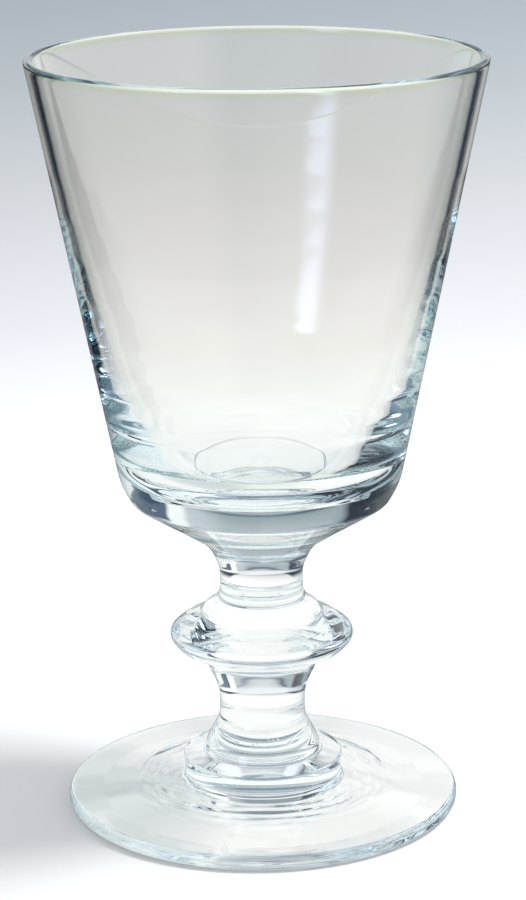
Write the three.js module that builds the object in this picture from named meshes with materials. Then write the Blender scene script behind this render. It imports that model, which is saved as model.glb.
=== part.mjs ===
// Water goblet of clear glass: a bucket bowl on a short stem with a ring knop, a bell, a collar and a foot.
// Six pieces of glass, each turned about the upright axis, meet face to face on flat joints.
// Millimetres, +Z up. The axis of the goblet is Z, and it stands on z = 0.
import * as THREE from 'three';

// Foot: a broad disc with a rounded edge, a low crown and a shallow hollow under it
const footRadius = 41.7;
const footEdgeThickness = 3.0;
const footEdgeRound = 1.25;
const footHeight = 4.8;
const footRestWidth = 7.4;
const footHollowDepth = 1.1;
const footHollowSlope = 8.6;
const footHollowRound = 38.0;
const footCrownRadius = 27.0;
const footCrownDrop = 0.5;
const footCrownRound = 16.0;

// Foot collar: a thick disc with an upright side and a ledge round the bell
const collarHeight = 6.1;
const collarSeatRadius = 17.4;
const collarWaistRadius = 16.6;
const collarWaistHeight = 1.0;
const collarWaistRound = 1.4;
const collarRadius = 17.1;
const collarLedgeDrop = 0.7;
const collarEdgeRound = 0.5;

// Lower stem: a bell that narrows to a neck, which opens again below the ring
const lowerStemHeight = 19.1;
const bellBaseRadius = 12.7;
const bellShoulderRadius = 12.1;
const bellShoulderHeight = 2.1;
const bellShoulderRound = 7.0;
const lowerNeckRadius = 9.1;
const lowerNeckStart = 7.7;
const lowerNeckRound = 7.0;
const lowerNeckLength = 6.4;
const lowerFlareRound = 11.5;

// Ring knop: a rounded ring between two slopes, with a small lip under the upper neck
const ringHeight = 13.6;
const ringSeatRadius = 11.45;
const ringRootRadius = 11.9;
const ringRootHeight = 1.0;
const ringRootRound = 1.9;
const ringUnderRadius = 15.0;
const ringUnderHeight = 3.6;
const ringUnderRound = 1.6;
const ringLowerEdgeRadius = 17.6;
const ringLowerEdgeHeight = 4.5;
const ringLowerEdgeRound = 2.3;
const ringWidestRadius = 20.3;
const ringWidestHeight = 7.5;
const ringWidestRound = 2.9;
const ringUpperEdgeRadius = 16.6;
const ringUpperEdgeHeight = 10.2;
const ringUpperEdgeRound = 1.8;
const ringSlopeRadius = 13.1;
const ringSlopeHeight = 11.95;
const ringSlopeRound = 1.5;
const ringLipRadius = 12.15;
const ringLipHeight = 13.2;
const ringLipRound = 0.8;

// Upper stem: a neck that flares like a trumpet to the bowl
const upperStemHeight = 15.4;
const upperSeatRadius = 11.6;
const upperNeckRadius = 8.8;
const upperNeckStart = 2.1;
const upperNeckRound = 5.7;
const upperNeckLength = 6.2;
const upperFlareRound = 7.2;
const trumpetRadius = 11.2;
const trumpetDrop = 1.85;
const trumpetRound = 9.0;

// Bowl: outside
const bowlHeight = 101.0;
const bowlSeatRadius = 14.0;
const bowlUnderRadius = 16.2;
const bowlUnderHeight = 1.45;
const bowlUnderRound = 0.7;
const bowlTurnRadius = 27.3;
const bowlTurnHeight = 8.4;
const bowlTurnRound = 2.3;
const heelRadius = 29.5;
const heelHeight = 12.4;
const heelRound = 15.6;
const rimRadius = 47.25;
const rimWall = 2.0;
const rimRound = 0.88;

// Bowl: inside, as heights above the joint and walls measured in from the outside
const bowlBaseThickness = 11.25;
const cavityFloorLift = 1.65;
const cavityFloorWall = 8.15;
const cavityFloorRound = 15.3;
const cavityShoulderHeight = 30.0;
const cavityShoulderWall = 4.25;
const cavityShoulderRound = 95.0;
const cavityBendHeight = 62.1;
const cavityBendWall = 2.05;
const cavityBendRound = 90.0;

// Fineness of the turned surfaces
const facetsRound = 60;
const degreesPerArcStep = 13;
const roomShare = 0.5;

// Heights of the flat joints above the table
const collarSeat = footHeight;
const lowerStemSeat = collarSeat + collarHeight;
const ringSeat = lowerStemSeat + lowerStemHeight;
const upperStemSeat = ringSeat + ringHeight;
const bowlSeat = upperStemSeat + upperStemHeight;
const rimLevel = bowlSeat + bowlHeight;

// One corner of a turned outline, with the radius of its rounding
function corner(radius, height, round = 0) {
  return { place: new THREE.Vector2(radius, height), round };
}

// The points of the arc that rounds one corner, kept within half of each side
function filletPoints(before, here, after) {
  const back = before.place.clone().sub(here.place);
  const ahead = after.place.clone().sub(here.place);
  const halfAngle = back.angleTo(ahead) / 2;
  const room = Math.min(back.length(), ahead.length()) * roomShare;
  const reach = Math.min(here.round / Math.tan(halfAngle), room);
  const turn = (Math.PI - 2 * halfAngle) * Math.sign(ahead.cross(back));
  back.setLength(reach);
  ahead.setLength(reach);
  const start = here.place.clone().add(back);
  const inward = back.clone().add(ahead).setLength(reach / Math.cos(halfAngle));
  const centre = here.place.clone().add(inward);
  const steps = Math.max(1, Math.round(THREE.MathUtils.radToDeg(Math.abs(turn)) / degreesPerArcStep));
  const points = [];
  for (let step = 0; step <= steps; step += 1) {
    points.push(start.clone().rotateAround(centre, (turn * step) / steps));
  }
  return points;
}

// An outline through the corners, with its rounded ones as arcs
function outline(corners) {
  return corners.flatMap((here, index) => {
    if (here.round === 0) {
      return [here.place];
    }
    return filletPoints(corners[index - 1], here, corners[index + 1]);
  });
}

// A piece of clear glass turned about Z
function turnedGlass(name, corners) {
  const shape = new THREE.LatheGeometry(outline(corners), facetsRound);
  shape.rotateX(Math.PI / 2);
  const glass = new THREE.MeshStandardMaterial({
    color: 0xe4eeea,
    roughness: 0.04,
    metalness: 0,
    transparent: true,
    opacity: 0.35,
  });
  const piece = new THREE.Mesh(shape, glass);
  piece.name = name;
  return piece;
}

function makeFoot() {
  const restRadius = footRadius - footRestWidth;
  return turnedGlass('foot', [
    corner(0, footHollowDepth),
    corner(restRadius - footHollowSlope, footHollowDepth, footHollowRound),
    corner(restRadius, 0),
    corner(footRadius, 0, footEdgeRound),
    corner(footRadius, footEdgeThickness, footEdgeRound),
    corner(footCrownRadius, footHeight - footCrownDrop, footCrownRound),
    corner(collarSeatRadius, collarSeat),
    corner(0, collarSeat),
  ]);
}

function makeFootCollar() {
  return turnedGlass('foot_collar', [
    corner(0, collarSeat),
    corner(collarSeatRadius, collarSeat),
    corner(collarWaistRadius, collarSeat + collarWaistHeight, collarWaistRound),
    corner(collarRadius, lowerStemSeat - collarLedgeDrop, collarEdgeRound),
    corner(bellBaseRadius, lowerStemSeat),
    corner(0, lowerStemSeat),
  ]);
}

function makeLowerStem() {
  const neckStart = lowerStemSeat + lowerNeckStart;
  return turnedGlass('lower_stem', [
    corner(0, lowerStemSeat),
    corner(bellBaseRadius, lowerStemSeat),
    corner(bellShoulderRadius, lowerStemSeat + bellShoulderHeight, bellShoulderRound),
    corner(lowerNeckRadius, neckStart, lowerNeckRound),
    corner(lowerNeckRadius, neckStart + lowerNeckLength, lowerFlareRound),
    corner(ringSeatRadius, ringSeat),
    corner(0, ringSeat),
  ]);
}

function makeRingKnop() {
  return turnedGlass('ring_knop', [
    corner(0, ringSeat),
    corner(ringSeatRadius, ringSeat),
    corner(ringRootRadius, ringSeat + ringRootHeight, ringRootRound),
    corner(ringUnderRadius, ringSeat + ringUnderHeight, ringUnderRound),
    corner(ringLowerEdgeRadius, ringSeat + ringLowerEdgeHeight, ringLowerEdgeRound),
    corner(ringWidestRadius, ringSeat + ringWidestHeight, ringWidestRound),
    corner(ringUpperEdgeRadius, ringSeat + ringUpperEdgeHeight, ringUpperEdgeRound),
    corner(ringSlopeRadius, ringSeat + ringSlopeHeight, ringSlopeRound),
    corner(ringLipRadius, ringSeat + ringLipHeight, ringLipRound),
    corner(upperSeatRadius, upperStemSeat),
    corner(0, upperStemSeat),
  ]);
}

function makeUpperStem() {
  const neckStart = upperStemSeat + upperNeckStart;
  return turnedGlass('upper_stem', [
    corner(0, upperStemSeat),
    corner(upperSeatRadius, upperStemSeat),
    corner(upperNeckRadius, neckStart, upperNeckRound),
    corner(upperNeckRadius, neckStart + upperNeckLength, upperFlareRound),
    corner(trumpetRadius, bowlSeat - trumpetDrop, trumpetRound),
    corner(bowlSeatRadius, bowlSeat),
    corner(0, bowlSeat),
  ]);
}

// The radius of the straight outer wall at a height above the bowl's joint
function wallRadius(height) {
  const rise = (height - heelHeight) / (bowlHeight - heelHeight);
  return THREE.MathUtils.lerp(heelRadius, rimRadius, rise);
}

function makeBowl() {
  const floor = bowlSeat + bowlBaseThickness;
  const bendRadius = wallRadius(cavityBendHeight) - cavityBendWall;
  const shoulderRadius = wallRadius(cavityShoulderHeight) - cavityShoulderWall;
  const floorRadius = heelRadius - cavityFloorWall;
  return turnedGlass('bowl', [
    corner(0, bowlSeat),
    corner(bowlSeatRadius, bowlSeat),
    corner(bowlUnderRadius, bowlSeat + bowlUnderHeight, bowlUnderRound),
    corner(bowlTurnRadius, bowlSeat + bowlTurnHeight, bowlTurnRound),
    corner(heelRadius, bowlSeat + heelHeight, heelRound),
    corner(rimRadius, rimLevel, rimRound),
    corner(rimRadius - rimWall, rimLevel, rimRound),
    corner(bendRadius, bowlSeat + cavityBendHeight, cavityBendRound),
    corner(shoulderRadius, bowlSeat + cavityShoulderHeight, cavityShoulderRound),
    corner(floorRadius, floor + cavityFloorLift, cavityFloorRound),
    corner(0, floor),
  ]);
}

const goblet = new THREE.Group();
goblet.add(makeFoot());
goblet.add(makeFootCollar());
goblet.add(makeLowerStem());
goblet.add(makeRingKnop());
goblet.add(makeUpperStem());
goblet.add(makeBowl());

export default goblet;
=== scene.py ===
import math

import bpy
import numpy as np
from mathutils import Matrix, Vector


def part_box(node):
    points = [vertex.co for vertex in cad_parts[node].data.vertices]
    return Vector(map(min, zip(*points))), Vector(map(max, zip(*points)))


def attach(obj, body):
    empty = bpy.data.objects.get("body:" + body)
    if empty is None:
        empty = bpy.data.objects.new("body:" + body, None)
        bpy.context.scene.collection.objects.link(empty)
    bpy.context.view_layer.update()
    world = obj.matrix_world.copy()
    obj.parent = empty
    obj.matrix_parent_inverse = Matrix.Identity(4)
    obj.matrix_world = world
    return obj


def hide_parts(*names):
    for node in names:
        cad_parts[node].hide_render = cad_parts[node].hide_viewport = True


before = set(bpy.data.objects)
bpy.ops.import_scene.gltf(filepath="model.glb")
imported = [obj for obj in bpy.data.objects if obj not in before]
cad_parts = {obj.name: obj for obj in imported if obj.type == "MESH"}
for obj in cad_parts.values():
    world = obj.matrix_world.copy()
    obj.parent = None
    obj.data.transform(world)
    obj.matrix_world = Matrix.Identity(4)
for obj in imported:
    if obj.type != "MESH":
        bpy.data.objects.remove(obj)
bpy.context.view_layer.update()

# A millimetre in metres, and the length in millimetres below which a step or a radius counts as none
MM = 0.001
HAIR = 1e-6

WHITE = (1.0, 1.0, 1.0)
BLACK = (0.0, 0.0, 0.0)

# Sizes of the turned outline in millimetres, as in the CAD source but with the softer corners of hot glass
FOOT_RADIUS = 41.7
FOOT_EDGE_THICKNESS = 3.0
FOOT_EDGE_ROUND = 1.25
FOOT_REST_WIDTH = 7.4
FOOT_REST_ROUND = 1.0
FOOT_HOLLOW_DEPTH = 1.1
FOOT_HOLLOW_SLOPE = 8.6
FOOT_HOLLOW_ROUND = 38.0
FOOT_CROWN_RADIUS = 27.0
FOOT_CROWN_DROP = 0.5
FOOT_CROWN_ROUND = 16.0
COLLAR_SEAT_RADIUS = 17.4
COLLAR_SEAT_ROUND = 0.6
COLLAR_WAIST_RADIUS = 16.6
COLLAR_WAIST_HEIGHT = 1.0
COLLAR_WAIST_ROUND = 1.4
COLLAR_RADIUS = 17.1
COLLAR_LEDGE_DROP = 0.7
COLLAR_EDGE_ROUND = 0.5
BELL_BASE_RADIUS = 12.7
BELL_BASE_ROUND = 0.3
BELL_SHOULDER_RADIUS = 12.1
BELL_SHOULDER_HEIGHT = 2.1
BELL_SHOULDER_ROUND = 7.0
LOWER_NECK_RADIUS = 9.1
LOWER_NECK_START = 7.7
LOWER_NECK_ROUND = 7.0
LOWER_NECK_LENGTH = 6.4
LOWER_FLARE_ROUND = 11.5
RING_ROOT_RADIUS = 11.9
RING_ROOT_HEIGHT = 1.0
RING_ROOT_ROUND = 1.9
RING_UNDER_RADIUS = 15.0
RING_UNDER_HEIGHT = 3.6
RING_UNDER_ROUND = 1.6
RING_LOWER_EDGE_RADIUS = 17.6
RING_LOWER_EDGE_HEIGHT = 4.5
RING_LOWER_EDGE_ROUND = 2.3
RING_WIDEST_RADIUS = 20.3
RING_WIDEST_HEIGHT = 7.5
RING_WIDEST_ROUND = 2.9
RING_UPPER_EDGE_RADIUS = 16.6
RING_UPPER_EDGE_HEIGHT = 10.2
RING_UPPER_EDGE_ROUND = 1.8
RING_SLOPE_RADIUS = 13.1
RING_SLOPE_HEIGHT = 11.95
RING_SLOPE_ROUND = 1.5
RING_LIP_RADIUS = 12.15
RING_LIP_HEIGHT = 13.2
RING_LIP_ROUND = 1.7
UPPER_NECK_RADIUS = 8.8
UPPER_NECK_START = 2.1
UPPER_NECK_ROUND = 5.7
UPPER_NECK_LENGTH = 6.2
UPPER_FLARE_ROUND = 7.2
TRUMPET_RADIUS = 11.2
TRUMPET_DROP = 1.85
TRUMPET_ROUND = 9.0
BOWL_UNDER_RADIUS = 16.2
BOWL_UNDER_HEIGHT = 1.45
BOWL_UNDER_ROUND = 0.7
BOWL_TURN_RADIUS = 27.3
BOWL_TURN_HEIGHT = 8.4
BOWL_TURN_ROUND = 2.3
HEEL_RADIUS = 29.5
HEEL_HEIGHT = 12.4
HEEL_ROUND = 15.6
RIM_RADIUS = 47.25
RIM_WALL = 2.0
RIM_ROUND = 0.88
CAVITY_FLOOR_HEIGHT = 11.25
CAVITY_FLOOR_LIFT = 1.65
CAVITY_FLOOR_RADIUS = 21.35
CAVITY_FLOOR_ROUND = 15.3
CAVITY_SHOULDER_RADIUS = 28.77
CAVITY_SHOULDER_HEIGHT = 30.0
CAVITY_SHOULDER_ROUND = 126.0
CAVITY_BEND_RADIUS = 37.4
CAVITY_BEND_HEIGHT = 62.1
CAVITY_BEND_ROUND = 520.0

# Marks of the hand in millimetres: a ring pressed in the cavity floor, and waves worked in the foot's top.
# Each bend of the ripples has its size in radians, how often it goes round, and its start in radians
FLOOR_MARK_RADIUS = 14.6
FLOOR_MARK_WIDTH = 0.20
FLOOR_MARK_DEPTH = 0.34
FLOOR_MARK_REACH = 0.9
TOOLED_RADIUS = 22.5
TOOLED_WIDTH = 4.5
TOOLED_DEPTH = 0.16
RIPPLE_SHARE = 0.55
RIPPLES_PER_MM = 2.1
RIPPLE_BENDS = ((1.3, 3, 0.4), (0.7, 5, 2.0))
WAVE_SHARE = 0.45
WAVES_ROUND = 11
WAVE_SWAY = 0.8
WAVE_SWAYS_ROUND = 2
WAVE_TWIST_PER_MM = 0.35

# Bubbles caught in the joints: place and radius in millimetres
STEM_BUBBLES = [((-3.8, -2.5, 57.9), 0.28), ((5.0, -2.0, 58.2), 0.32)]
BELL_BUBBLES = [
    ((-1.6, -4.0, 12.4), 0.26),
    ((-0.9, -3.6, 12.5), 0.22),
    ((4.5, -3.0, 12.2), 0.30),
    ((1.0, -5.0, 14.2), 0.20),
    ((1.8, -5.0, 14.0), 0.16),
    ((2.7, -4.8, 14.1), 0.18),
]

# Fineness of the turned glass, with steps and the gap at a joint in millimetres
LINE_STEP = 0.8
FINE_STEP = 0.06
ARC_STEP_DEGREES = 4.0
ARC_STEPS_LEAST = 4
ROOM_SHARE = 0.5
FACETS_ROUND = 240
BUBBLE_FACETS_ROUND = 14
BUBBLE_RINGS = 7
SEAM_GAP = 0.001


def node_top(name):
    """The height of a CAD node's flat top, in millimetres."""
    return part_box(name)[1].z / MM


COLLAR_SEAT = node_top("foot")
LOWER_STEM_SEAT = node_top("foot_collar")
RING_SEAT = node_top("lower_stem")
UPPER_STEM_SEAT = node_top("ring_knop")
BOWL_SEAT = node_top("upper_stem")
RIM_LEVEL = node_top("bowl")


def outline_corners():
    """The whole outline from the middle of the underside, up the outside, over the rim and down to the
    middle of the cavity floor, as corners of radius, height and rounding."""
    rest = FOOT_RADIUS - FOOT_REST_WIDTH
    lower_neck = LOWER_STEM_SEAT + LOWER_NECK_START
    upper_neck = UPPER_STEM_SEAT + UPPER_NECK_START
    floor = BOWL_SEAT + CAVITY_FLOOR_HEIGHT
    return [
        (0.0, FOOT_HOLLOW_DEPTH, 0.0),
        (rest - FOOT_HOLLOW_SLOPE, FOOT_HOLLOW_DEPTH, FOOT_HOLLOW_ROUND),
        (rest, 0.0, FOOT_REST_ROUND),
        (FOOT_RADIUS, 0.0, FOOT_EDGE_ROUND),
        (FOOT_RADIUS, FOOT_EDGE_THICKNESS, FOOT_EDGE_ROUND),
        (FOOT_CROWN_RADIUS, COLLAR_SEAT - FOOT_CROWN_DROP, FOOT_CROWN_ROUND),
        (COLLAR_SEAT_RADIUS, COLLAR_SEAT, COLLAR_SEAT_ROUND),
        (COLLAR_WAIST_RADIUS, COLLAR_SEAT + COLLAR_WAIST_HEIGHT, COLLAR_WAIST_ROUND),
        (COLLAR_RADIUS, LOWER_STEM_SEAT - COLLAR_LEDGE_DROP, COLLAR_EDGE_ROUND),
        (BELL_BASE_RADIUS, LOWER_STEM_SEAT, BELL_BASE_ROUND),
        (BELL_SHOULDER_RADIUS, LOWER_STEM_SEAT + BELL_SHOULDER_HEIGHT, BELL_SHOULDER_ROUND),
        (LOWER_NECK_RADIUS, lower_neck, LOWER_NECK_ROUND),
        (LOWER_NECK_RADIUS, lower_neck + LOWER_NECK_LENGTH, LOWER_FLARE_ROUND),
        (RING_ROOT_RADIUS, RING_SEAT + RING_ROOT_HEIGHT, RING_ROOT_ROUND),
        (RING_UNDER_RADIUS, RING_SEAT + RING_UNDER_HEIGHT, RING_UNDER_ROUND),
        (RING_LOWER_EDGE_RADIUS, RING_SEAT + RING_LOWER_EDGE_HEIGHT, RING_LOWER_EDGE_ROUND),
        (RING_WIDEST_RADIUS, RING_SEAT + RING_WIDEST_HEIGHT, RING_WIDEST_ROUND),
        (RING_UPPER_EDGE_RADIUS, RING_SEAT + RING_UPPER_EDGE_HEIGHT, RING_UPPER_EDGE_ROUND),
        (RING_SLOPE_RADIUS, RING_SEAT + RING_SLOPE_HEIGHT, RING_SLOPE_ROUND),
        (RING_LIP_RADIUS, RING_SEAT + RING_LIP_HEIGHT, RING_LIP_ROUND),
        (UPPER_NECK_RADIUS, upper_neck, UPPER_NECK_ROUND),
        (UPPER_NECK_RADIUS, upper_neck + UPPER_NECK_LENGTH, UPPER_FLARE_ROUND),
        (TRUMPET_RADIUS, BOWL_SEAT - TRUMPET_DROP, TRUMPET_ROUND),
        (BOWL_UNDER_RADIUS, BOWL_SEAT + BOWL_UNDER_HEIGHT, BOWL_UNDER_ROUND),
        (BOWL_TURN_RADIUS, BOWL_SEAT + BOWL_TURN_HEIGHT, BOWL_TURN_ROUND),
        (HEEL_RADIUS, BOWL_SEAT + HEEL_HEIGHT, HEEL_ROUND),
        (RIM_RADIUS, RIM_LEVEL, RIM_ROUND),
        (RIM_RADIUS - RIM_WALL, RIM_LEVEL, RIM_ROUND),
        (CAVITY_BEND_RADIUS, BOWL_SEAT + CAVITY_BEND_HEIGHT, CAVITY_BEND_ROUND),
        (CAVITY_SHOULDER_RADIUS, BOWL_SEAT + CAVITY_SHOULDER_HEIGHT, CAVITY_SHOULDER_ROUND),
        (CAVITY_FLOOR_RADIUS, floor + CAVITY_FLOOR_LIFT, CAVITY_FLOOR_ROUND),
        (0.0, floor, 0.0),
    ]


def arc_at(before, here, after, radius):
    """The arc of the given radius that touches both sides of a corner, at even angles about its centre.
    It reaches no further along a side than the room share."""
    back, ahead = before - here, after - here
    back_length, ahead_length = np.hypot(*back), np.hypot(*ahead)
    back, ahead = back / back_length, ahead / ahead_length
    half = math.acos(float(np.clip(back @ ahead, -1.0, 1.0))) / 2
    reach = min(radius / math.tan(half), ROOM_SHARE * back_length, ROOM_SHARE * ahead_length)
    rounding = reach * math.tan(half)
    centre = here + (back + ahead) / np.hypot(*(back + ahead)) * rounding / math.sin(half)
    start, end = here + back * reach - centre, here + ahead * reach - centre
    first = math.atan2(start[1], start[0])
    turn = (math.atan2(end[1], end[0]) - first + math.pi) % math.tau - math.pi
    steps = max(ARC_STEPS_LEAST, math.ceil(abs(math.degrees(turn)) / ARC_STEP_DEGREES))
    angle = first + turn * np.linspace(0.0, 1.0, steps + 1)
    return centre + rounding * np.stack([np.cos(angle), np.sin(angle)], -1)


def rounded_line(corners):
    """The outline as points: every corner with a rounding is replaced by its arc, and the runs between are
    cut into even steps, which are fine round the ring pressed in the cavity floor."""
    places = [np.array(corner[:2]) for corner in corners]
    parts = [places[0][None]]
    for index in range(1, len(corners) - 1):
        if corners[index][2] > 0:
            parts.append(arc_at(places[index - 1], places[index], places[index + 1], corners[index][2]))
        else:
            parts.append(places[index][None])
    parts.append(places[-1][None])
    rough = np.concatenate(parts)
    length = np.hypot(*np.diff(rough, axis=0).T)
    middle = (rough[:-1] + rough[1:]) / 2
    marked = (np.abs(middle[:, 0] - FLOOR_MARK_RADIUS) < FLOOR_MARK_REACH) & (middle[:, 1] > BOWL_SEAT)
    marked &= np.arange(len(middle)) > np.argmax(rough[:, 1])
    step = np.where(marked, FINE_STEP, LINE_STEP)
    runs = [
        np.linspace(low, high, math.ceil(gap / width), endpoint=False)
        for low, high, gap, width in zip(rough[:-1], rough[1:], length, step)
        if gap > HAIR
    ]
    return np.concatenate(runs + [rough[-1:]])


def cut_at(line, height):
    """The line with a point added where its outside passes the height, and that point's index."""
    outside = np.arange(len(line) - 1) > np.argmax(line[:, 0] > FOOT_RADIUS - FOOT_EDGE_ROUND)
    crossing = (line[:-1, 1] <= height) & (line[1:, 1] > height) & outside
    index = int(np.argmax(crossing))
    low, high = line[index], line[index + 1]
    point = low + (high - low) * (height - low[1]) / (high[1] - low[1])
    return np.concatenate([line[: index + 1], point[None], line[index + 1 :]]), index + 1


def line_normals(line):
    """The outward normals of the line, from the chord between each point's neighbours turned by a right
    angle."""
    ahead = np.gradient(line, axis=0)
    ahead /= np.hypot(*ahead.T)[:, None]
    return np.stack([ahead[:, 1], -ahead[:, 0]], -1)


def bell_curve(distance, width):
    """A smooth hump: e to the power of minus the square of distance over width."""
    return np.exp(-((distance / width) ** 2))


def hand_finish(line, angle):
    """How far each point stands off the true turned surface along its normal, in millimetres. In the cavity
    floor a narrow groove runs all round. On the foot's top a hump about the tooled radius carries two waves:
    ripples, the sine of the radius with slow bends of the angle added, and waves, the sine of so many turns
    round, swayed by the angle and twisted by the radius."""
    radius, height = line[:, :1], line[:, 1:]
    inside = np.arange(len(line))[:, None] > np.argmax(line[:, 1])
    floor = inside & (height < BOWL_SEAT + CAVITY_SHOULDER_HEIGHT)
    groove = -FLOOR_MARK_DEPTH * bell_curve(radius - FLOOR_MARK_RADIUS, FLOOR_MARK_WIDTH) * floor
    crown = (height > FOOT_EDGE_THICKNESS) & (height < COLLAR_SEAT + COLLAR_WAIST_HEIGHT)
    tooled = TOOLED_DEPTH * bell_curve(radius - TOOLED_RADIUS, TOOLED_WIDTH) * crown
    bends = sum(size * np.sin(turns * angle + start) for size, turns, start in RIPPLE_BENDS)
    ripple = np.sin(RIPPLES_PER_MM * radius + bends)
    sway = WAVE_SWAY * np.sin(WAVE_SWAYS_ROUND * angle)
    wave = np.sin(WAVES_ROUND * angle + sway + WAVE_TWIST_PER_MM * radius)
    return groove + tooled * (RIPPLE_SHARE * ripple + WAVE_SHARE * wave)


def turned_grid(line):
    """Points of the surface turned about Z: (r cos a, r sin a, z) at even angles a, moved along the line's
    normal by the hand finish. Rows follow the line, columns go round."""
    angle = np.arange(FACETS_ROUND) * math.tau / FACETS_ROUND
    off = hand_finish(line, angle[None])
    normal = line_normals(line)
    radius = line[:, :1] + normal[:, :1] * off * (line[:, :1] > 0)
    height = line[:, 1:] + normal[:, 1:] * off
    return np.stack([radius * np.cos(angle), radius * np.sin(angle), height], -1)


def ring_faces(rows, around):
    """Quads between neighbouring rows of a grid whose columns close on themselves. They face outwards where
    the rows go up."""
    row = np.arange(rows - 1)[:, None] * around
    here = np.arange(around)[None]
    there = (here + 1) % around
    return np.stack([row + here, row + there, row + around + there, row + around + here], -1).reshape(-1, 4)


def fan_faces(row, around, centre, upward):
    """Triangles from one row of points to a centre point, facing along +Z or -Z."""
    here = row * around + np.arange(around)
    there = row * around + (np.arange(around) + 1) % around
    middle = np.full(around, centre)
    return np.stack([here, there, middle] if upward else [there, here, middle], -1)


def bubble(centre, radius):
    """A tiny air bubble: an upright ball of points (r sin t cos a, r sin t sin a, r cos t). Its rows go
    down, so its faces look into the bubble, away from the glass."""
    turn = np.arange(BUBBLE_FACETS_ROUND) * math.tau / BUBBLE_FACETS_ROUND
    tilt = np.linspace(0.0, math.pi, BUBBLE_RINGS + 2)[1:-1, None]
    upright = np.cos(tilt) + 0 * turn
    rings = np.stack([np.sin(tilt) * np.cos(turn), np.sin(tilt) * np.sin(turn), upright], -1)
    points = np.concatenate([rings.reshape(-1, 3), [[0, 0, 1], [0, 0, -1]]]) * radius + np.array(centre)
    top, bottom = len(points) - 2, len(points) - 1
    sides = ring_faces(BUBBLE_RINGS, BUBBLE_FACETS_ROUND)
    over = fan_faces(0, BUBBLE_FACETS_ROUND, top, False)
    under = fan_faces(BUBBLE_RINGS - 1, BUBBLE_FACETS_ROUND, bottom, True)
    return points, sides.tolist() + over.tolist() + under.tolist()


def placed(name, data):
    """A new object for a mesh, lamp or camera, put in the scene."""
    thing = bpy.data.objects.new(name, data)
    bpy.context.collection.objects.link(thing)
    return thing


def keep_joint_edges(mesh, rows):
    """Marks the edges along the given rows of points as sharp, so that the smooth shading of the wall stops
    at a joint."""
    edges = np.zeros(len(mesh.edges) * 2, np.int32)
    mesh.edges.foreach_get("vertices", edges)
    row_of = edges.reshape(-1, 2) // FACETS_ROUND
    sharp = np.zeros(len(row_of), bool)
    for row in rows:
        sharp |= (row_of == row).all(1)
    mesh.attributes.new("sharp_edge", "BOOLEAN", "EDGE").data.foreach_set("value", sharp)


def glass_piece(name, grid, line, start, stop, bubbles, material):
    """One piece of the goblet: the rows of the turned grid between two points of the outline, closed at
    either end by a point on the axis, or by a flat face that is fused to the next piece and stands a hair
    inside the joint."""
    fused_low, fused_high = (bool(line[index, 0] > HAIR) for index in (start, stop))
    rows = grid[start + (not fused_low) : stop + fused_high].copy()
    last = len(rows) - 1
    ends = np.array([[0.0, 0.0, line[start, 1]], [0.0, 0.0, line[stop, 1]]])
    for row, end, lift in ((0, 0, SEAM_GAP * fused_low), (last, 1, -SEAM_GAP * fused_high)):
        rows[row, :, 2] += lift
        ends[end, 2] += lift
    points = np.concatenate([rows.reshape(-1, 3), ends])
    faces = ring_faces(len(rows), FACETS_ROUND).tolist()
    fused = [0.0] * len(faces)
    caps = ((0, len(points) - 2, False, fused_low), (last, len(points) - 1, True, fused_high))
    for row, centre, upward, joined in caps:
        faces += fan_faces(row, FACETS_ROUND, centre, upward).tolist()
        fused += [float(joined)] * FACETS_ROUND
    for centre, radius in bubbles:
        ball, skin = bubble(centre, radius)
        faces += [[corner + len(points) for corner in face] for face in skin]
        fused += [0.0] * len(skin)
        points = np.concatenate([points, ball])
    mesh = bpy.data.meshes.new(name)
    mesh.from_pydata((points * MM).tolist(), [], faces)
    mesh.attributes.new("fused", "FLOAT", "FACE").data.foreach_set("value", fused)
    mesh.polygons.foreach_set("use_smooth", np.ones(len(faces), bool))
    keep_joint_edges(mesh, [row for row, centre, upward, joined in caps if joined])
    mesh.materials.append(material)
    return placed(name, mesh)


# The colour sockets of a Mix node, which share their names with its other sockets
MIX_FIRST, MIX_SECOND, MIX_RESULT = 6, 7, 2


def fill(tree, socket, value):
    """Puts a number, three numbers or another node's output into a socket. A colour socket gets a fourth
    number, one."""
    if isinstance(value, (int, float)):
        socket.default_value = value
    elif isinstance(value, tuple):
        socket.default_value = (*value, 1.0)[: len(socket.default_value)]
    else:
        tree.links.new(value, socket)


def sums(tree, operation, *values):
    """A Math node of the given operation on sockets or numbers."""
    node = tree.nodes.new("ShaderNodeMath")
    node.operation = operation
    for socket, value in zip(node.inputs, values):
        fill(tree, socket, value)
    return node.outputs["Value"]


def mapped(tree, value, low, high, to_low=0.0, to_high=1.0, smooth=True):
    """A Map Range node from low..high to to_low..to_high, held at its ends."""
    node = tree.nodes.new("ShaderNodeMapRange")
    node.interpolation_type = "SMOOTHSTEP" if smooth else "LINEAR"
    names = ("Value", "From Min", "From Max", "To Min", "To Max")
    for name, put in zip(names, (value, low, high, to_low, to_high)):
        fill(tree, node.inputs[name], put)
    return node.outputs["Result"]


def band(tree, value, low, high, soft):
    """One between low and high, with edges as soft as given."""
    rising = mapped(tree, value, low - soft, low + soft)
    falling = mapped(tree, value, high - soft, high + soft, 1.0, 0.0)
    return sums(tree, "MULTIPLY", rising, falling)


def mixed(tree, factor, first, second):
    """A colour Mix node of two colours, each a socket or three numbers."""
    node = tree.nodes.new("ShaderNodeMix")
    node.data_type = "RGBA"
    fill(tree, node.inputs["Factor"], factor)
    fill(tree, node.inputs[MIX_FIRST], first)
    fill(tree, node.inputs[MIX_SECOND], second)
    return node.outputs[MIX_RESULT]


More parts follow.
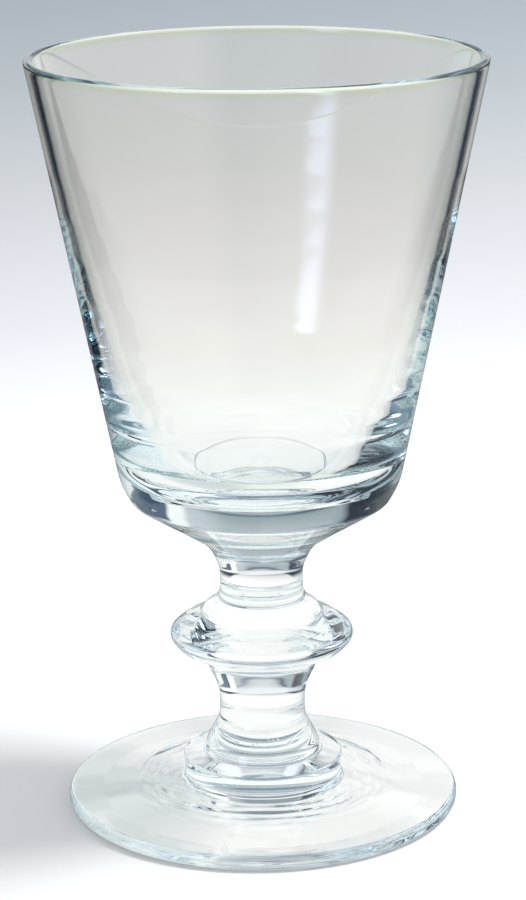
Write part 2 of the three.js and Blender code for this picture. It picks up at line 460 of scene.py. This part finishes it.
def times(tree, first, second):
    """A colour times another, each a socket or three numbers."""
    node = tree.nodes.new("ShaderNodeVectorMath")
    node.operation = "MULTIPLY"
    for socket, value in zip(node.inputs, (first, second)):
        fill(tree, socket, value)
    return node.outputs["Vector"]


def place_of(tree, kind="Object"):
    """The place that is shaded, in one of Texture Coordinate's ways."""
    return tree.nodes.new("ShaderNodeTexCoord").outputs[kind]


def parts_of(tree, vector):
    """A vector's X, Y and Z as sockets by name."""
    node = tree.nodes.new("ShaderNodeSeparateXYZ")
    tree.links.new(vector, node.inputs["Vector"])
    return node.outputs


def new_group(name, inputs, outputs):
    """A shader node group with the named inputs and outputs, each with its socket type."""
    group = bpy.data.node_groups.new(name, "ShaderNodeTree")
    for way, sockets in (("INPUT", inputs), ("OUTPUT", outputs)):
        for label, kind in sockets:
            group.interface.new_socket(name=label, in_out=way, socket_type="NodeSocket" + kind)
    return group


def group_in(tree, group):
    """A node that stands for the group in a material."""
    node = tree.nodes.new("ShaderNodeGroup")
    node.node_tree = group
    return node


def new_material(name, values):
    """A material of one Principled shader with plain values on the named sockets, and that shader."""
    material = bpy.data.materials.new(name)
    material.use_nodes = True
    surface = material.node_tree.nodes["Principled BSDF"]
    for label, value in values.items():
        surface.inputs[label].default_value = value
    return material, surface


# Colours of the glass, the heights in metres between which they come in, and the scales of its unevenness
GLASS_IOR = 1.52
GLASS_CLEAR = (0.985, 0.985, 0.97)
GLASS_DEEP = (0.955, 0.975, 0.97)
DEEP_FROM = (0.030, 0.060)
DEEP_UP_TO = (0.072, 0.100)
GLASS_RIM = (0.90, 0.95, 0.82)
RIM_FROM = (0.1575, 0.1592)
GLASS_BODY = (0.0, 0.50, 0.64)
GLASS_DENSITY = 1.9
EDGE_FACING = (0.45, 1.0)
BOWL_EDGE = (0.90, 0.95, 0.90)
STEM_EDGE = (0.92, 0.95, 0.96)
FOOT_EDGE = (0.90, 0.95, 0.93)
SLOW_WAVER_SCALE = 45.0
SLOW_WAVER_STRETCH = 0.35
QUICK_WAVER_SCALE = 160.0
QUICK_WAVER_SHARE = 0.25
WAVER_DETAIL = 1.0
BLOWN_WAVER = 0.003 * MM
FOOT_WAVER = 0.006 * MM


def glass_tone_group():
    """The colour of the glass by height: pale at the walls, deeper where the base is thick, yellow green at
    the rim. The edge input deepens it towards the outline, where light runs further through the glass."""
    inputs = (("Edge", "Float"), ("Edge Colour", "Color"))
    group = new_group("glass_tone", inputs, (("Colour", "Color"),))
    inward = group.nodes.new("NodeGroupInput").outputs
    outward = group.nodes.new("NodeGroupOutput").inputs
    height = parts_of(group, place_of(group))["Z"]
    rising = mapped(group, height, *DEEP_FROM)
    falling = mapped(group, height, *DEEP_UP_TO, 1.0, 0.0)
    colour = mixed(group, sums(group, "MULTIPLY", rising, falling), GLASS_CLEAR, GLASS_DEEP)
    colour = mixed(group, inward["Edge"], colour, inward["Edge Colour"])
    colour = mixed(group, mapped(group, height, *RIM_FROM), colour, GLASS_RIM)
    group.links.new(colour, outward["Colour"])
    return group


def noise_at(tree, place, scale):
    """A soft noise of the given scale."""
    noise = tree.nodes.new("ShaderNodeTexNoise")
    noise.inputs["Scale"].default_value = scale
    noise.inputs["Detail"].default_value = WAVER_DETAIL
    tree.links.new(place, noise.inputs["Vector"])
    return noise.outputs["Fac"]


def waver_group():
    """Slow unevenness of blown glass: two noises of different size, one drawn out along the height."""
    group = new_group("glass_waver", (), (("Height", "Float"),))
    outward = group.nodes.new("NodeGroupOutput").inputs
    place = place_of(group)
    stretch = group.nodes.new("ShaderNodeMapping")
    stretch.inputs["Scale"].default_value = (1.0, 1.0, SLOW_WAVER_STRETCH)
    group.links.new(place, stretch.inputs["Vector"])
    slow = noise_at(group, stretch.outputs["Vector"], SLOW_WAVER_SCALE)
    quick = sums(group, "MULTIPLY", noise_at(group, place, QUICK_WAVER_SCALE), QUICK_WAVER_SHARE)
    group.links.new(sums(group, "ADD", slow, quick), outward["Height"])
    return group


TONE = glass_tone_group()
WAVER = waver_group()


def clear_glass(name, edge_colour, waver_depth):
    """Clear glass that bends and mirrors light, tinted towards its outline, with a faint unevenness. It
    soaks up a little red along the way, so long paths come out teal. The flat faces where two pieces are
    fused into one body of glass let all light by."""
    values = {"Roughness": 0.0, "IOR": GLASS_IOR, "Transmission Weight": 1.0}
    material, surface = new_material(name, values)
    tree = material.node_tree
    facing = tree.nodes.new("ShaderNodeLayerWeight").outputs["Facing"]
    tone = group_in(tree, TONE)
    tone.inputs["Edge Colour"].default_value = (*edge_colour, 1.0)
    tree.links.new(mapped(tree, facing, *EDGE_FACING), tone.inputs["Edge"])
    tree.links.new(tone.outputs["Colour"], surface.inputs["Base Color"])
    bump = tree.nodes.new("ShaderNodeBump")
    bump.inputs["Distance"].default_value = waver_depth
    tree.links.new(group_in(tree, WAVER).outputs["Height"], bump.inputs["Height"])
    tree.links.new(bump.outputs["Normal"], surface.inputs["Normal"])
    fused = tree.nodes.new("ShaderNodeAttribute")
    fused.attribute_name = "fused"
    tree.links.new(sums(tree, "SUBTRACT", 1.0, fused.outputs["Fac"]), surface.inputs["Alpha"])
    depth = tree.nodes.new("ShaderNodeVolumeAbsorption")
    depth.inputs["Color"].default_value = (*GLASS_BODY, 1.0)
    depth.inputs["Density"].default_value = GLASS_DENSITY
    tree.links.new(depth.outputs["Volume"], tree.nodes["Material Output"].inputs["Volume"])
    return material


def dress_goblet():
    """Cuts the turned outline at the joints and puts a glass piece in the place of each CAD node."""
    line = rounded_line(outline_corners())
    cuts = [0]
    for seat in (COLLAR_SEAT, LOWER_STEM_SEAT, RING_SEAT, UPPER_STEM_SEAT, BOWL_SEAT):
        line, index = cut_at(line, seat)
        cuts.append(index)
    cuts.append(len(line) - 1)
    grid = turned_grid(line)
    bowl_glass = clear_glass("bowl_glass", BOWL_EDGE, BLOWN_WAVER)
    stem_glass = clear_glass("stem_glass", STEM_EDGE, BLOWN_WAVER)
    foot_glass = clear_glass("foot_glass", FOOT_EDGE, FOOT_WAVER)
    pieces = (
        ("foot", foot_glass, []),
        ("foot_collar", stem_glass, []),
        ("lower_stem", stem_glass, BELL_BUBBLES),
        ("ring_knop", stem_glass, []),
        ("upper_stem", stem_glass, STEM_BUBBLES),
        ("bowl", bowl_glass, []),
    )
    for (node, glass, bubbles), start, stop in zip(pieces, cuts[:-1], cuts[1:]):
        piece = glass_piece(node + "_blown", grid, line, start, stop, bubbles, glass)
        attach(piece, "root")
        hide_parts(node)


# Camera at the photograph's place, with angles in degrees and the lens in pixels of the frame
CAMERA_PLACE = (0.0006, -0.5776, 0.2392)
CAMERA_PITCH = 15.665
CAMERA_ROLL = -0.5
LENS_PIXELS = 2864
FRAME_HEIGHT = 900
SENSOR = 36.0
RIGHT_ANGLE = 90.0


def add_camera():
    """A camera that looks along +Y, tilted down by the pitch."""
    camera = bpy.data.cameras.new("camera")
    camera.sensor_width = SENSOR
    camera.lens = LENS_PIXELS / FRAME_HEIGHT * SENSOR
    holder = placed("camera", camera)
    pitch = Matrix.Rotation(math.radians(RIGHT_ANGLE - CAMERA_PITCH), 4, "X")
    roll = Matrix.Rotation(math.radians(CAMERA_ROLL), 4, "Z")
    holder.matrix_world = Matrix.Translation(CAMERA_PLACE) @ pitch @ roll
    bpy.context.scene.camera = holder


# What stands round the glass and shows only in it. Azimuths run from straight behind it to the right, and
# heights up from level, in degrees. A pair of them is where something starts and stops
FULL_TURN = 360.0
SIDE_SOFT = 1.5
RISE_SOFT = 1.0
BACKDROP = (0.42, 0.47, 0.52)

# The paper sweep straight behind, by height: its lit foot, a dark fold, the grey middle, a dark bar, a bright
# edge, a dim part and the lit top. Its right half gets more light
SWEEP_EDGE = (22.0, 27.0)
SWEEP_LIT_SIDE = (9.0, 20.0)
SWEEP_LIT_SHARE = 0.45
SWEEP_LIT = (0.84, 0.88, 0.93)
SWEEP_STOPS = (
    (0.0, (0.97, 0.98, 1.00)),
    (8.4, (0.93, 0.95, 0.97)),
    (10.6, (0.62, 0.66, 0.69)),
    (11.6, (0.08, 0.12, 0.18)),
    (12.8, (0.36, 0.42, 0.45)),
    (15.0, (0.40, 0.45, 0.47)),
    (20.0, (0.54, 0.58, 0.60)),
    (21.6, (0.48, 0.52, 0.57)),
    (22.6, (0.03, 0.05, 0.14)),
    (24.0, (0.03, 0.05, 0.14)),
    (25.2, (0.66, 0.71, 0.75)),
    (27.5, (0.78, 0.82, 0.84)),
    (30.0, (0.30, 0.35, 0.39)),
    (42.0, (0.22, 0.28, 0.33)),
    (52.0, (0.34, 0.39, 0.43)),
    (58.0, (0.90, 0.92, 0.94)),
    (80.0, (0.80, 0.84, 0.86)),
)

# Round about the sweep: a window with a dark bar across it at the right, dark cards with a paler gap at the
# left, the room behind the camera, and the ceiling over them all
ROOM = (0.72, 0.78, 0.84)
ROOM_DIM = (0.24, 0.33, 0.41)
WINDOW = (1.12, 1.13, 1.12)
WINDOW_SIDE = (20.0, 26.0)
WINDOW_TOP = (56.0, 66.0)
BAR = (0.05, 0.09, 0.16)
BAR_SIDE = (33.0, 60.0)
BAR_RISE = (8.5, 21.0)
CARD = (0.012, 0.022, 0.038)
CARD_LIT = (0.50, 0.62, 0.72)
CARD_DIM = (0.10, 0.13, 0.17)
CARD_GAP = (0.22, 0.28, 0.34)
CARD_GAP_SIDE = (-58.0, -32.0)
CARD_GAP_RISE = (21.5, 24.5)
LOW_TO_HIGH = (6.0, 14.0)
LOW_SIDES = (
    (-180.0, ROOM),
    (-140.0, ROOM),
    (-120.0, CARD_DIM),
    (-62.0, CARD_DIM),
    (-46.0, CARD_LIT),
    (-30.0, (0.72, 0.79, 0.86)),
    (-12.0, (0.95, 0.97, 1.00)),
    (24.0, WINDOW),
    (118.0, WINDOW),
    (150.0, ROOM),
)
HIGH_SIDES = (
    (-180.0, ROOM_DIM),
    (-155.0, ROOM_DIM),
    (-135.0, CARD),
    (-31.0, CARD),
    (-27.0, (0.38, 0.44, 0.48)),
    (22.0, (0.60, 0.65, 0.68)),
    (25.0, WINDOW),
    (145.0, WINDOW),
    (165.0, ROOM_DIM),
)
CEILING = (42.0, 52.0)
CEILING_SIDES = (
    (-160.0, (0.80, 0.86, 0.92)),
    (-135.0, (0.24, 0.31, 0.37)),
    (-95.0, (0.24, 0.31, 0.37)),
    (-55.0, (0.82, 0.90, 0.96)),
    (-30.0, (1.00, 1.04, 1.06)),
    (60.0, (1.05, 1.07, 1.08)),
    (150.0, (1.10, 1.12, 1.12)),
)


def ramp_over(tree, value, low, high, stops):
    """The colour between stops, each a place from low to high and a colour."""
    node = tree.nodes.new("ShaderNodeValToRGB")
    elements = node.color_ramp.elements
    while len(elements) < len(stops):
        elements.new(1.0)
    for element, (place, colour) in zip(elements, stops):
        element.position = (place - low) / (high - low)
        element.color = (*colour, 1.0)
    tree.links.new(mapped(tree, value, low, high, smooth=False), node.inputs["Fac"])
    return node.outputs["Color"]


def side_ramp(tree, azimuth, stops):
    """The colour of the surroundings by azimuth alone."""
    return ramp_over(tree, azimuth, -FULL_TURN / 2, FULL_TURN / 2, stops)


def azimuth_of(tree, parts):
    """The azimuth of a direction or place in degrees, none straight behind the glass and growing to the
    right."""
    return sums(tree, "DEGREES", sums(tree, "ARCTAN2", parts["X"], parts["Y"]))


def patch(tree, side, rise, side_span, rise_span):
    """One inside a soft-edged patch of the surroundings."""
    across = band(tree, side, *side_span, SIDE_SOFT)
    return sums(tree, "MULTIPLY", across, band(tree, rise, *rise_span, RISE_SOFT))


def add_studio():
    """The world: a plain studio of named features, with one plain backdrop where the camera sees it."""
    world = bpy.data.worlds.new("studio")
    bpy.context.scene.world = world
    world.use_nodes = True
    tree = world.node_tree
    parts = parts_of(tree, place_of(tree, "Generated"))
    side = azimuth_of(tree, parts)
    rise = sums(tree, "DEGREES", sums(tree, "ARCSINE", parts["Z"]))
    over_window = sums(tree, "MULTIPLY", mapped(tree, rise, *WINDOW_TOP), mapped(tree, side, *WINDOW_SIDE))
    high = side_ramp(tree, side, HIGH_SIDES)
    high = mixed(tree, mapped(tree, rise, *CEILING), high, side_ramp(tree, side, CEILING_SIDES))
    high = mixed(tree, over_window, high, ROOM_DIM)
    high = mixed(tree, patch(tree, side, rise, BAR_SIDE, BAR_RISE), high, BAR)
    high = mixed(tree, patch(tree, side, rise, CARD_GAP_SIDE, CARD_GAP_RISE), high, CARD_GAP)
    colour = mixed(tree, mapped(tree, rise, *LOW_TO_HIGH), side_ramp(tree, side, LOW_SIDES), high)
    sweep = ramp_over(tree, rise, 0.0, RIGHT_ANGLE, SWEEP_STOPS)
    sweep = mixed(tree, mapped(tree, side, *SWEEP_LIT_SIDE, 0.0, SWEEP_LIT_SHARE), sweep, SWEEP_LIT)
    on_sweep = mapped(tree, sums(tree, "ABSOLUTE", side), *SWEEP_EDGE, 1.0, 0.0)
    colour = mixed(tree, on_sweep, colour, sweep)
    path = tree.nodes.new("ShaderNodeLightPath").outputs
    colour = mixed(tree, path["Is Camera Ray"], colour, BACKDROP)
    tree.links.new(colour, tree.nodes["Background"].inputs["Color"])


# The table top in metres, and its colour by distance as the camera sees it: painted falloff of light that
# greys it further off, and painted light that makes its glow a little brighter to the right
FLOOR_HALF = 4.0
FLOOR_DROP = 0.0002
FLOOR_FAR = 2.0
FLOOR_ROUGHNESS = 0.8
FLOOR_LAMP_SHARE = 0.60
FLOOR_GLOW = 0.24
# How much the floor's glow leans brighter to the right, and over what width in metres: painted light from the
# right
PAINTED_LIGHT_TILT = 0.70
PAINTED_LIGHT_TILT_REACH = 0.4
FLOOR_FALLOFF_STOPS = (
    (0.28, (1.00, 1.00, 1.00)),
    (0.34, (0.95, 0.95, 0.97)),
    (0.45, (0.83, 0.83, 0.86)),
    (0.60, (0.76, 0.76, 0.79)),
    (0.80, (0.68, 0.70, 0.72)),
    (1.06, (0.62, 0.66, 0.69)),
    (1.40, (0.60, 0.65, 0.69)),
    (1.80, (0.59, 0.64, 0.68)),
)

# The table top as the glass bends it: near, at the sides and far off, and the edge of its lit wedge behind
FLOOR_WHITE = (1.12, 1.12, 1.11)
NEAR_FLOOR = (0.13, 0.30)
# Darker near floor at the left, from about -155 to -62 degrees, is a painted shadow of the goblet
NEAR_SIDES_PAINTED_SHADOW = (
    (-180.0, (1.03, 1.05, 1.03)),
    (-155.0, (0.96, 0.99, 0.98)),
    (-125.0, (0.78, 0.83, 0.83)),
    (-85.0, (0.77, 0.82, 0.83)),
    (-62.0, (0.86, 0.89, 0.91)),
    (-48.0, FLOOR_WHITE),
    (95.0, FLOOR_WHITE),
    (130.0, (1.04, 1.06, 1.04)),
)
FLOOR_SIDES = (
    (-180.0, (0.76, 0.84, 0.90)),
    (-125.0, (0.74, 0.81, 0.86)),
    (-90.0, (0.60, 0.68, 0.74)),
    (-70.0, (0.05, 0.08, 0.11)),
    (-50.0, (0.02, 0.03, 0.05)),
    (50.0, (0.02, 0.03, 0.05)),
    (66.0, (0.08, 0.11, 0.14)),
    (84.0, (0.90, 0.94, 0.97)),
    (135.0, (0.92, 0.96, 0.99)),
)
FAR_FLOOR = (1.50, 1.80)
FAR_WHITE = (0.96, 0.97, 1.00)
LIT_EDGE = 20.5
LIT_SPREAD = 3.3
LIT_SOFT = 3.0
LIT_NEAREST = 0.04
# Share of the floor's tone where the glass mirrors it: a painted dim reflection
FLOOR_REFLECTION_PAINTED_DIM = 0.20
SEEN_THROUGH = (0.965, 0.945, 0.915)


def floor_by_glass(tree, pale, reach, side):
    """The floor as bent rays see it: near the goblet a tone with a painted shadow of the goblet at the left,
    and further out the pale floor within a lit wedge straight behind, white far off, and the tone of the
    sides beyond it. The wedge's edge in degrees is the lit edge plus the lit spread over the reach."""
    near = side_ramp(tree, side, NEAR_SIDES_PAINTED_SHADOW)
    leaving = mapped(tree, reach, *NEAR_FLOOR)
    round_about = mixed(tree, leaving, near, side_ramp(tree, side, FLOOR_SIDES))
    behind = mixed(tree, leaving, near, times(tree, pale, SEEN_THROUGH))
    behind = mixed(tree, mapped(tree, reach, *FAR_FLOOR), behind, FAR_WHITE)
    spread = sums(tree, "DIVIDE", LIT_SPREAD, sums(tree, "MAXIMUM", reach, LIT_NEAREST))
    edge = sums(tree, "ADD", spread, LIT_EDGE)
    beyond = sums(tree, "SUBTRACT", sums(tree, "ABSOLUTE", side), edge)
    return mixed(tree, mapped(tree, beyond, -LIT_SOFT, LIT_SOFT), behind, round_about)


def add_floor():
    """A plain pale table top, greyed with distance by painted falloff of light, that takes the goblet's
    shadow from the lamps. Rays that come through or off the glass see it glowing by its painted tone without
    the lamps, with a painted shadow of the goblet near it, and dimmed to a painted faint reflection where the
    glass mirrors it."""
    mesh = bpy.data.meshes.new("table_top")
    corners = [(x * FLOOR_HALF, y * FLOOR_HALF, -FLOOR_DROP) for x, y in ((-1, -1), (1, -1), (1, 1), (-1, 1))]
    mesh.from_pydata(corners, [], [(0, 1, 2, 3)])
    floor = placed("table_top", mesh)
    values = {"Roughness": FLOOR_ROUGHNESS, "Specular IOR Level": 0.0}
    material, surface = new_material("table_top", values)
    tree = material.node_tree
    place = place_of(tree)
    parts = parts_of(tree, place)
    length = tree.nodes.new("ShaderNodeVectorMath")
    length.operation = "LENGTH"
    tree.links.new(place, length.inputs["Vector"])
    reach = length.outputs["Value"]
    # The pale tone greys with distance: a painted falloff of light
    pale = ramp_over(tree, reach, 0.0, FLOOR_FAR, FLOOR_FALLOFF_STOPS)
    path = tree.nodes.new("ShaderNodeLightPath").outputs
    bent = sums(tree, "MAXIMUM", path["Is Glossy Ray"], path["Is Transmission Ray"])
    colour = mixed(tree, bent, pale, floor_by_glass(tree, pale, reach, azimuth_of(tree, parts)))
    # The floor is painted dimmer in the glass's mirror image: a painted dim reflection
    colour = times(tree, colour, mixed(tree, path["Is Reflection Ray"], WHITE, (FLOOR_REFLECTION_PAINTED_DIM,) * 3))
    by_lamps = mixed(tree, bent, (FLOOR_LAMP_SHARE,) * 3, BLACK)
    tree.links.new(times(tree, colour, by_lamps), surface.inputs["Base Color"])
    # The glow is painted stronger to the right and weaker to the left: painted light from the right
    swing = PAINTED_LIGHT_TILT * PAINTED_LIGHT_TILT_REACH
    span = (-PAINTED_LIGHT_TILT_REACH, PAINTED_LIGHT_TILT_REACH, 1.0 - swing, 1.0 + swing)
    tilt = mapped(tree, parts["X"], *span, smooth=False)
    glowing = mapped(tree, bent, 0.0, 1.0, FLOOR_GLOW, 1.0, smooth=False)
    seen = sums(tree, "MAXIMUM", path["Is Camera Ray"], bent)
    glow = sums(tree, "MULTIPLY", sums(tree, "MULTIPLY", seen, glowing), tilt)
    tree.links.new(colour, surface.inputs["Emission Color"])
    tree.links.new(glow, surface.inputs["Emission Strength"])
    mesh.materials.append(material)


# Where the strip lamp's face starts and stops across and along, each from 0 to 1, and how softly
STRIP_ACROSS = (0.22, 0.78, 0.20)
STRIP_ALONG = (0.03, 0.97, 0.03)


def soften(lamp):
    """Fades a lamp's face towards its edges, so that its mirror image in the glass has soft ends and
    sides."""
    lamp.use_nodes = True
    tree = lamp.node_tree
    face = parts_of(tree, tree.nodes.new("ShaderNodeNewGeometry").outputs["Parametric"])
    across = band(tree, face["X"], *STRIP_ACROSS)
    along = band(tree, face["Y"], *STRIP_ALONG)
    tree.links.new(sums(tree, "MULTIPLY", across, along), tree.nodes["Emission"].inputs["Strength"])


def add_lamp(name, place, target, size, power, colour=WHITE):
    """A lamp with a rectangular face at a place, turned to its target. Metres and watts."""
    lamp = bpy.data.lights.new(name, "AREA")
    lamp.shape = "RECTANGLE"
    lamp.size, lamp.size_y = size
    lamp.energy = power
    lamp.color = colour
    holder = placed(name, lamp)
    turn = (Vector(target) - Vector(place)).to_track_quat("-Z", "Y").to_matrix().to_4x4()
    holder.matrix_world = Matrix.Translation(place) @ turn
    return holder


def add_lamps():
    """Two soft lamps from above, which only light things, and a strip at the left that the wall mirrors."""
    overhead = add_lamp(
        "overhead", place=(0.05, 0.15, 1.5), target=(0.0, 0.1, 0.0), size=(1.3, 1.3), power=4.0,
    )
    softbox = add_lamp(
        "right_softbox", place=(0.80, 0.07, 1.25), target=(0.0, 0.0, 0.05), size=(0.35, 0.35), power=20.5,
    )
    for lamp in (overhead, softbox):
        lamp.visible_glossy = False
        lamp.visible_transmission = False
    strip = add_lamp(
        "left_strip", place=(-0.75, -0.95, 0.205), target=(0.0, 0.0, 0.12), size=(0.60, 0.46), power=3.6,
        colour=(0.62, 0.70, 1.0),
    )
    soften(strip.data)


# How often light may bounce, and how often it may pass a surface of the glass
BOUNCES = 96
BOUNCES_THROUGH = 64


def set_view():
    """Plain colours, and enough bounces for light to find its way out of the thick glass."""
    scene = bpy.context.scene
    scene.view_settings.view_transform = "Standard"
    scene.cycles.max_bounces = BOUNCES
    scene.cycles.glossy_bounces = BOUNCES
    scene.cycles.transmission_bounces = BOUNCES_THROUGH
    scene.cycles.transparent_max_bounces = BOUNCES_THROUGH


add_camera()
add_studio()
add_floor()
add_lamps()
dress_goblet()
set_view()
